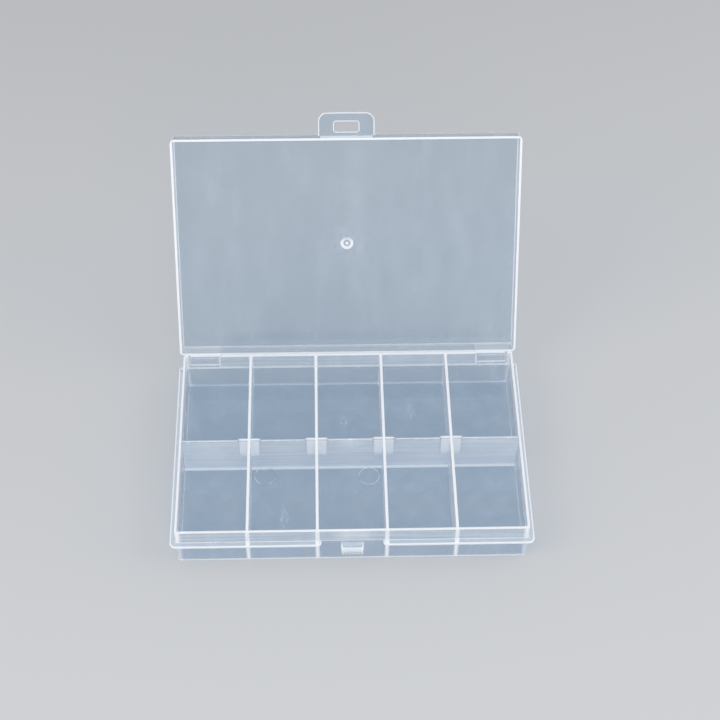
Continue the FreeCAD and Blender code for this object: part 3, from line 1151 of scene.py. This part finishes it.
@dataclass
class HingeFilms:
    """The two straps that bend between the tray and the lid."""

    lip_face: float = 56.72
    bend: float = 0.6
    half_thickness: float = 0.2
    arc: float = math.radians(65.0)
    tail: float = 0.98
    centre: float = 74.35
    half_width: float = 7.35
    corner: float = 0.12
    run_steps: int = 8
    arc_steps: int = 14
    tail_steps: int = 4

    def on_arc(self, turn: float) -> Pair:
        """The y and z of the strap's line after that much of its bend."""
        y, z = LID_FRAME.pivot
        return y + self.bend * math.sin(turn), z - self.bend * math.cos(turn)

    def stations(self) -> list[Triple]:
        """The strap's line from the tray's lip round the bend to the lid.

        Returns:
            The y, the z and the slope at each station.
        """
        first_y, first_z = self.on_arc(0.0)
        found = []
        for step in range(self.run_steps):
            share = step / self.run_steps
            found.append((self.lip_face + share * (first_y - self.lip_face), first_z, 0.0))
        for step in range(self.arc_steps + 1):
            turn = self.arc * step / self.arc_steps
            found.append((*self.on_arc(turn), turn))
        last_y, last_z = self.on_arc(self.arc)
        back, up = math.cos(self.arc), math.sin(self.arc)
        for step in range(1, self.tail_steps + 1):
            far = self.tail * step / self.tail_steps
            found.append((last_y + far * back, last_z + far * up, self.arc))
        return found

    def build(self) -> list[bpy.types.Object]:
        """Build both straps, bending from the tray to the lid.

        Returns:
            The straps.
        """
        outline = strip_section(self.half_width, self.half_thickness, self.corner)
        start = Vector((0.0, *self.on_arc(0.0))) * MM
        end = Vector((0.0, *self.on_arc(self.arc))) * MM
        straps = []
        for side, label in ((-1, "left"), (1, "right")):
            rings = []
            for y, z, slope in self.stations():
                up = Vector((0.0, -math.sin(slope), math.cos(slope)))
                middle = Vector((side * self.centre, y, z))
                points = [middle + Vector((across, 0.0, 0.0)) + up * rise for across, rise in outline]
                rings.append([point * MM for point in points])
            strap = lofted(f"hinge_strap_{label}", rings)
            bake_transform(strap)
            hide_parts(f"hinge_film_{label}")
            straps.append(strap)
        return straps

    def dress(self, straps: Sequence[bpy.types.Object]) -> None:
        """Dress the straps.

        Args:
            straps: The two straps.
        """
        plastic = FilmPlastic().material()
        for strap in straps:
            dress(strap, plastic)


@dataclass
class Latch:
    """The slotted flap and the film that it folds on."""

    nodes: Mapping[str, bpy.types.Object]
    rounding: Rounding = Rounding(width=0.15)
    front: float = -118.72
    length: float = 0.96
    half_width: float = 13.0
    half_thickness: float = 0.2
    corner: float = 0.1
    steps: int = 10

    def build(self) -> bpy.types.Object:
        """Build the film along the lid's front rim, running straight from the lid to the flap.

        Returns:
            The film.
        """
        outline = strip_section(self.half_width, self.half_thickness, self.corner)
        rings = []
        for step in range(self.steps + 1):
            along = self.front - self.length * step / self.steps
            rings.append([LID_FRAME.at_rest(across, along, rise) for across, rise in outline])
        film = lofted("latch_strap", rings)
        start = LID_FRAME.at_rest(0.0, self.front, 0.0)
        end = LID_FRAME.at_rest(0.0, self.front - self.length, 0.0)
        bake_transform(film)
        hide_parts("latch_film")
        return film

    def dress(self, film: bpy.types.Object) -> None:
        """Dress the film and the flap.

        Args:
            film: The latch's film.
        """
        dress(film, LatchFilmPlastic().material())
        flap = self.nodes["latch_flap"]
        self.rounding.soften(flap)
        dress(flap, FlapPlastic().material())


@dataclass(frozen=True)
class Lamp:
    """A soft square lamp aimed at the box; its place and its side are in metres."""

    name: str
    place: Triple
    side: float
    power: float
    aim: Triple = (0.0, 0.03, 0.03)

    def build(self) -> None:
        """Add the lamp."""
        data = bpy.data.lights.new(self.name, "AREA")
        data.size = self.side
        data.energy = self.power
        made = bpy.data.objects.new(self.name, data)
        made.location = self.place
        ahead = Vector(self.aim) - Vector(self.place)
        made.rotation_euler = ahead.to_track_quat("-Z", "Y").to_euler()
        bpy.context.scene.collection.objects.link(made)


@dataclass
class Studio:
    """The pale floor, the soft light and the camera; the floor's reach and drop are in metres."""

    floor_colour: Colour = (0.57, 0.58, 0.595, 1.0)
    floor_roughness: float = 0.9
    floor_reach: float = 4.0
    floor_sides: int = 96
    floor_drop: float = -0.00005
    floor_fade: Pair = (350.0, 1100.0)
    sky_colour: Colour = (0.55, 0.56, 0.575, 1.0)
    sky_light: float = 0.7
    lens: float = 89.02
    sensor: float = 36.0
    target: Triple = (6.315, 61.587, 12.0)
    distance: float = 934.40
    yaw: float = math.radians(-1.697)
    height_angle: float = math.radians(49.297)
    roll: float = math.radians(0.526)
    lamps: tuple[Lamp, ...] = (
        Lamp("key", (-1.05, -0.55, 1.05), 1.0, 11.0),
        Lamp("fill", (1.15, -0.1, 0.95), 1.0, 8.5),
        Lamp("front", (0.15, -1.05, 0.8), 0.55, 5.0),
    )

    def build(self) -> None:
        """Set the floor, the sky, the lamps and the camera."""
        self.floor()
        self.sky()
        for lamp in self.lamps:
            lamp.build()
        self.camera()

    def floor(self) -> None:
        """Lay a round matt floor that fades into the sky."""
        bm = bmesh.new()
        bmesh.ops.create_circle(bm, cap_ends=True, segments=self.floor_sides, radius=self.floor_reach)
        mesh = bpy.data.meshes.new("floor")
        bm.to_mesh(mesh)
        bm.free()
        made = linked("floor", mesh)
        made.location.z = self.floor_drop
        finish = bpy.data.materials.new("matt_floor")
        shade = Shade(finish)
        paint = {"Base Color": self.floor_colour, "Roughness": self.floor_roughness}
        matt = shade.node("BsdfPrincipled", {}, paint)
        pale = shade.node("Emission", {}, {"Color": self.sky_colour})
        away = shade.node("VectorMath", {"operation": "LENGTH"}, {0: shade.place()}, out="Value")
        far = away.rise(*self.floor_fade) * self.seen(shade)
        surface = shade.node("MixShader", {}, {0: far, 1: matt, 2: pale})
        shade.node("OutputMaterial", {}, {"Surface": surface})
        mesh.materials.append(finish)

    def seen(self, shade: Shade) -> Term:
        """1 for what the camera sees, straight or by a reflection or through the plastic."""
        path = shade.node("LightPath", out="Is Camera Ray")
        return path.most(path.part("Is Glossy Ray")).most(path.part("Is Transmission Ray"))

    def sky(self) -> None:
        """Set an even sky, pale to the camera and in reflections."""
        world = bpy.data.worlds.new("studio")
        bpy.context.scene.world = world
        shade = Shade(world)
        strength = self.seen(shade) * (1.0 - self.sky_light) + self.sky_light
        air = shade.node("Background", {}, {"Color": self.sky_colour, "Strength": strength})
        shade.node("OutputWorld", {}, {"Surface": air})

    def camera(self) -> None:
        """Set the camera of the photograph's view."""
        right = Vector((math.cos(self.yaw), math.sin(self.yaw), 0.0))
        flat = math.cos(self.height_angle)
        down = -math.sin(self.height_angle)
        ahead = Vector((-math.sin(self.yaw) * flat, math.cos(self.yaw) * flat, down))
        up = right.cross(ahead)
        turned_right = right * math.cos(self.roll) + up * math.sin(self.roll)
        turned_up = up * math.cos(self.roll) - right * math.sin(self.roll)
        spot = (Vector(self.target) - ahead * self.distance) * MM
        turn = Matrix((turned_right, turned_up, -ahead)).transposed()
        data = bpy.data.cameras.new("camera")
        data.sensor_width = self.sensor
        data.lens = self.lens
        made = bpy.data.objects.new("camera", data)
        made.matrix_world = Matrix.Translation(spot) @ turn.to_4x4()
        bpy.context.scene.collection.objects.link(made)
        bpy.context.scene.camera = made


def main() -> None:
    """Build and dress the box, then set the studio."""
    logging.basicConfig(level=logging.INFO, format="%(message)s")
    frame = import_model()
    nodes = frame["nodes"]
    bpy.context.scene.view_settings.view_transform = "Standard"
    tray = Tray(nodes)
    tray.dress(tray.build())
    dividers = Dividers(nodes)
    dividers.dress(dividers.build())
    Lid(nodes).dress()
    hinge = HingeFilms()
    hinge.dress(hinge.build())
    latch = Latch(nodes)
    latch.dress(latch.build())
    Studio().build()


if __name__ == "__main__":
    main()
